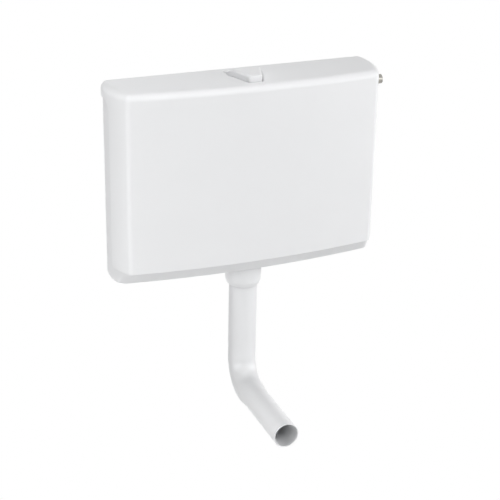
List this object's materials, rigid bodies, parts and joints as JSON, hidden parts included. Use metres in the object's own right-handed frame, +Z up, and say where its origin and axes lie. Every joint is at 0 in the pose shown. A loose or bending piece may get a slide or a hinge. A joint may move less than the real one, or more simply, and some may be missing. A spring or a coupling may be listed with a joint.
{
  "type": "toilet cistern",
  "caption": "White wall-hung toilet cistern: bowed cover hood with a tilting flush key, side water inlet, float valve and flush bend.",
  "frame": {"origin": "midway between the two wall screw holes, on the tank's flat back, which lies against the wall", "axes": "+Z up, front faces -Y, +X to the right as seen from the front"},
  "size_m": [0.5055, 0.254, 0.614],
  "materials": {
    "hood_white": "glossy white moulded plastic",
    "tank_white": "satin white moulded plastic",
    "pipe_white": "satin white plastic pipe",
    "inner_white": "plain white plastic",
    "inner_grey": "plain grey plastic",
    "inner_blue": "plain blue plastic",
    "seal_black": "smooth black rubber",
    "brass": "turned brass",
    "steel": "stainless steel",
    "foam": "moulded foam"
  },
  "bodies": {
    "tank": {"tank": "tank_white", "actuator_bridge": "inner_grey", "lever_pin": "steel", "valve_cage": "inner_blue", "valve_base": "inner_grey", "outlet_gasket": "seal_black", "outlet_locknut": "inner_white", "cone_seal": "seal_black", "flush_bend": "pipe_white", "inlet_nipple": "brass", "inlet_gasket": "seal_black", "inlet_washer": "inner_white", "inlet_locknut": "brass", "inlet_strainer": "inner_blue", "fill_valve_body": "inner_white", "fill_valve_cap": "inner_blue", "float_pin": "steel", "fill_tube": "inner_white"},
    "hood": {"cover_hood": "hood_white", "button_frame": "inner_white", "key_pin": "steel"},
    "key": {"flush_key": "hood_white", "push_stem": "inner_grey", "key_spring": "steel"},
    "lever": {"actuator_lever": "inner_blue"},
    "flush_valve": {"lift_rod": "inner_grey", "overflow_tube": "inner_white", "flush_seal": "seal_black", "seal_ring": "inner_grey", "valve_float": "foam"},
    "float": {"float_arm": "inner_white", "float_drum": "foam", "float_screw": "brass"},
    "plunger": {"valve_plunger": "inner_grey"},
    "nut": {"coupling_nut": "pipe_white"}
  },
  "joints": [
    {"name": "hood_lift", "type": "slide", "parent": "tank", "child": "hood", "axis": [0, 0, 1], "range_m": [0, 0.32]},
    {"name": "button_press", "type": "hinge", "parent": "hood", "child": "key", "pos_m": [0, -0.0195, 0.037], "axis": [1, 0, 0], "range_deg": [0, 6.5], "stiffness_Nm_per_rad": 1.5, "deforming": ["key_spring"]},
    {"name": "lever_tilt", "type": "hinge", "parent": "tank", "child": "lever", "pos_m": [0, -0.069, 0.002], "axis": [1, 0, 0], "range_deg": [0, 40]},
    {"name": "valve_lift", "type": "slide", "parent": "tank", "child": "flush_valve", "axis": [0, 0, 1], "range_m": [0, 0.017]},
    {"name": "float_swing", "type": "hinge", "parent": "tank", "child": "float", "pos_m": [0.16194, -0.022, -0.006], "axis": [0, 1, 0], "range_deg": [0, 40]},
    {"name": "plunger_slide", "type": "slide", "parent": "tank", "child": "plunger", "axis": [1, 0, 0], "range_m": [0, 0.008]},
    {"name": "coupling_nut_turn", "type": "hinge", "parent": "tank", "child": "nut", "pos_m": [0, -0.046, -0.32], "axis": [0, 0, 1], "continuous": true}
  ],
  "couplings": [
    {"joint": "lever_tilt", "follows": "button_press", "ratio": 6.15},
    {"joint": "valve_lift", "follows": "button_press", "m_per_rad": 0.1495},
    {"joint": "plunger_slide", "follows": "float_swing", "m_per_rad": 0.01145}
  ]
}
